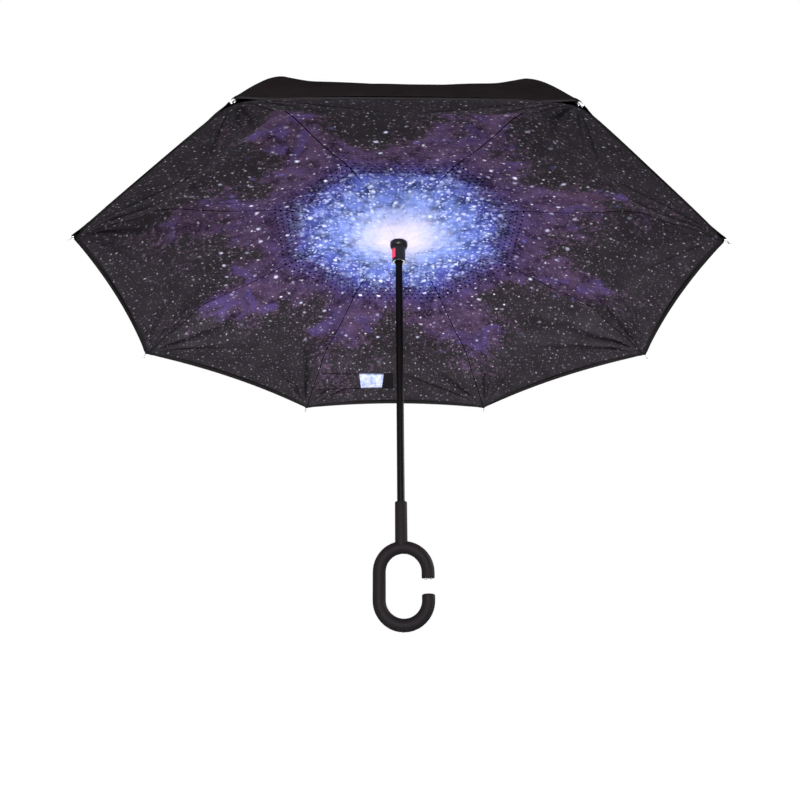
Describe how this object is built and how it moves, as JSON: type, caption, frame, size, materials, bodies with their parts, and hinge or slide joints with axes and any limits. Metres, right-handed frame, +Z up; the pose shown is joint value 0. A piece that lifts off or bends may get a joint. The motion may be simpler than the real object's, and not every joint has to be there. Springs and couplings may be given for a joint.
{
  "type": "inverted umbrella",
  "caption": "Open inverted umbrella with a plain outer canopy, a printed inner canopy, hinged ribs and stretchers, a sliding runner and a C-shaped hand loop.",
  "frame": {"origin": "middle of the hand loop's height, on the shaft's axis", "axes": "+Z up along the shaft towards the top cap, +X towards the hand loop's open side"},
  "size_m": [0.9934, 0.9934, 0.7422],
  "materials": {
    "grip": "fine matt soft-touch",
    "black_steel": "satin black",
    "black_plastic": "satin",
    "red_plastic": "satin",
    "bright_steel": "bright",
    "black_fibre": "satin glass fibre",
    "print_cloth": "woven, printed",
    "black_cloth": "woven"
  },
  "bodies": {
    "shaft": {"shaft_tube": "black_steel", "c_handle": "grip", "top_notch": "black_plastic", "notch_wire": "bright_steel", "top_cap": "black_plastic", "outer_canopy_crown": "black_cloth"},
    "runner": {"runner_body": "black_plastic", "runner_crown": "black_plastic", "runner_wire": "bright_steel", "button_spring": "bright_steel"},
    "button": {"release_button": "red_plastic"},
    "rib_1": {"rib_arm_1": "black_steel", "rib_rod_1": "black_fibre", "rib_tip_1": "bright_steel", "inner_gore_1": "print_cloth", "outer_gore_1": "black_cloth"},
    "stretcher_1": {"stretcher_bar_1": "black_steel"},
    "rib_2": {"rib_arm_2": "black_steel", "rib_rod_2": "black_fibre", "rib_tip_2": "bright_steel", "inner_gore_2": "print_cloth", "outer_gore_2": "black_cloth"},
    "stretcher_2": {"stretcher_bar_2": "black_steel"},
    "rib_3": {"rib_arm_3": "black_steel", "rib_rod_3": "black_fibre", "rib_tip_3": "bright_steel", "inner_gore_3": "print_cloth", "outer_gore_3": "black_cloth"},
    "stretcher_3": {"stretcher_bar_3": "black_steel"},
    "rib_4": {"rib_arm_4": "black_steel", "rib_rod_4": "black_fibre", "rib_tip_4": "bright_steel", "inner_gore_4": "print_cloth", "outer_gore_4": "black_cloth", "tie_strap": "black_cloth"},
    "stretcher_4": {"stretcher_bar_4": "black_steel"},
    "rib_5": {"rib_arm_5": "black_steel", "rib_rod_5": "black_fibre", "rib_tip_5": "bright_steel", "inner_gore_5": "print_cloth", "outer_gore_5": "black_cloth"},
    "stretcher_5": {"stretcher_bar_5": "black_steel"},
    "rib_6": {"rib_arm_6": "black_steel", "rib_rod_6": "black_fibre", "rib_tip_6": "bright_steel", "inner_gore_6": "print_cloth", "outer_gore_6": "black_cloth"},
    "stretcher_6": {"stretcher_bar_6": "black_steel"},
    "rib_7": {"rib_arm_7": "black_steel", "rib_rod_7": "black_fibre", "rib_tip_7": "bright_steel", "inner_gore_7": "print_cloth", "outer_gore_7": "black_cloth"},
    "stretcher_7": {"stretcher_bar_7": "black_steel"},
    "rib_8": {"rib_arm_8": "black_steel", "rib_rod_8": "black_fibre", "rib_tip_8": "bright_steel", "inner_gore_8": "print_cloth", "outer_gore_8": "black_cloth"},
    "stretcher_8": {"stretcher_bar_8": "black_steel"}
  },
  "joints": [
    {"name": "runner_slide", "type": "slide", "parent": "shaft", "child": "runner", "axis": [0, 0, -1], "range_m": [0, 0.4348], "deforming": ["outer_canopy_crown"]},
    {"name": "button_press", "type": "slide", "parent": "runner", "child": "button", "axis": [0.8387, 0.5446, 0], "range_m": [0, 0.0012], "stiffness_N_per_m": 400, "springref_m": -0.0012, "deforming": ["button_spring"]},
    {"name": "rib_hinge_1", "type": "hinge", "parent": "runner", "child": "rib_1", "pos_m": [0.00998, -0.00413, 0.619], "axis": [-0.3827, -0.9239, 0], "range_deg": [0, 80.5], "deforming": ["inner_gore_1", "outer_gore_1"]},
    {"name": "rib_hinge_2", "type": "hinge", "parent": "runner", "child": "rib_2", "pos_m": [0.00998, 0.00413, 0.619], "axis": [0.3827, -0.9239, 0], "range_deg": [0, 80.5], "deforming": ["inner_gore_2", "outer_gore_2"]},
    {"name": "rib_hinge_3", "type": "hinge", "parent": "runner", "child": "rib_3", "pos_m": [0.00413, 0.00998, 0.619], "axis": [0.9239, -0.3827, 0], "range_deg": [0, 80.5], "deforming": ["inner_gore_3", "outer_gore_3"]},
    {"name": "rib_hinge_4", "type": "hinge", "parent": "runner", "child": "rib_4", "pos_m": [-0.00413, 0.00998, 0.619], "axis": [0.9239, 0.3827, 0], "range_deg": [0, 80.5], "deforming": ["inner_gore_4", "outer_gore_4", "tie_strap"]},
    {"name": "rib_hinge_5", "type": "hinge", "parent": "runner", "child": "rib_5", "pos_m": [-0.00998, 0.00413, 0.619], "axis": [0.3827, 0.9239, 0], "range_deg": [0, 80.5], "deforming": ["inner_gore_5", "outer_gore_5"]},
    {"name": "rib_hinge_6", "type": "hinge", "parent": "runner", "child": "rib_6", "pos_m": [-0.00998, -0.00413, 0.619], "axis": [-0.3827, 0.9239, 0], "range_deg": [0, 80.5], "deforming": ["inner_gore_6", "outer_gore_6"]},
    {"name": "rib_hinge_7", "type": "hinge", "parent": "runner", "child": "rib_7", "pos_m": [-0.00413, -0.00998, 0.619], "axis": [-0.9239, 0.3827, 0], "range_deg": [0, 80.5], "deforming": ["inner_gore_7", "outer_gore_7"]},
    {"name": "rib_hinge_8", "type": "hinge", "parent": "runner", "child": "rib_8", "pos_m": [0.00413, -0.00998, 0.619], "axis": [-0.9239, -0.3827, 0], "range_deg": [0, 80.5], "deforming": ["inner_gore_8", "outer_gore_8"]},
    {"name": "stretcher_hinge_1", "type": "hinge", "parent": "shaft", "child": "stretcher_1", "pos_m": [0.00998, -0.00413, 0.659], "axis": [0.3827, 0.9239, 0], "range_deg": [0, 80.86]},
    {"name": "stretcher_hinge_2", "type": "hinge", "parent": "shaft", "child": "stretcher_2", "pos_m": [0.00998, 0.00413, 0.659], "axis": [-0.3827, 0.9239, 0], "range_deg": [0, 80.86]},
    {"name": "stretcher_hinge_3", "type": "hinge", "parent": "shaft", "child": "stretcher_3", "pos_m": [0.00413, 0.00998, 0.659], "axis": [-0.9239, 0.3827, 0], "range_deg": [0, 80.86]},
    {"name": "stretcher_hinge_4", "type": "hinge", "parent": "shaft", "child": "stretcher_4", "pos_m": [-0.00413, 0.00998, 0.659], "axis": [-0.9239, -0.3827, 0], "range_deg": [0, 80.86]},
    {"name": "stretcher_hinge_5", "type": "hinge", "parent": "shaft", "child": "stretcher_5", "pos_m": [-0.00998, 0.00413, 0.659], "axis": [-0.3827, -0.9239, 0], "range_deg": [0, 80.86]},
    {"name": "stretcher_hinge_6", "type": "hinge", "parent": "shaft", "child": "stretcher_6", "pos_m": [-0.00998, -0.00413, 0.659], "axis": [0.3827, -0.9239, 0], "range_deg": [0, 80.86]},
    {"name": "stretcher_hinge_7", "type": "hinge", "parent": "shaft", "child": "stretcher_7", "pos_m": [-0.00413, -0.00998, 0.659], "axis": [0.9239, -0.3827, 0], "range_deg": [0, 80.86]},
    {"name": "stretcher_hinge_8", "type": "hinge", "parent": "shaft", "child": "stretcher_8", "pos_m": [0.00413, -0.00998, 0.659], "axis": [0.9239, 0.3827, 0], "range_deg": [0, 80.86]}
  ],
  "couplings": [
    {"joint": "rib_hinge_1", "follows": "runner_slide", "rad_per_m": 3.2311},
    {"joint": "rib_hinge_2", "follows": "runner_slide", "rad_per_m": 3.2311},
    {"joint": "rib_hinge_3", "follows": "runner_slide", "rad_per_m": 3.2311},
    {"joint": "rib_hinge_4", "follows": "runner_slide", "rad_per_m": 3.2311},
    {"joint": "rib_hinge_5", "follows": "runner_slide", "rad_per_m": 3.2311},
    {"joint": "rib_hinge_6", "follows": "runner_slide", "rad_per_m": 3.2311},
    {"joint": "rib_hinge_7", "follows": "runner_slide", "rad_per_m": 3.2311},
    {"joint": "rib_hinge_8", "follows": "runner_slide", "rad_per_m": 3.2311},
    {"joint": "stretcher_hinge_1", "follows": "runner_slide", "rad_per_m": 3.2457},
    {"joint": "stretcher_hinge_2", "follows": "runner_slide", "rad_per_m": 3.2457},
    {"joint": "stretcher_hinge_3", "follows": "runner_slide", "rad_per_m": 3.2457},
    {"joint": "stretcher_hinge_4", "follows": "runner_slide", "rad_per_m": 3.2457},
    {"joint": "stretcher_hinge_5", "follows": "runner_slide", "rad_per_m": 3.2457},
    {"joint": "stretcher_hinge_6", "follows": "runner_slide", "rad_per_m": 3.2457},
    {"joint": "stretcher_hinge_7", "follows": "runner_slide", "rad_per_m": 3.2457},
    {"joint": "stretcher_hinge_8", "follows": "runner_slide", "rad_per_m": 3.2457}
  ]
}
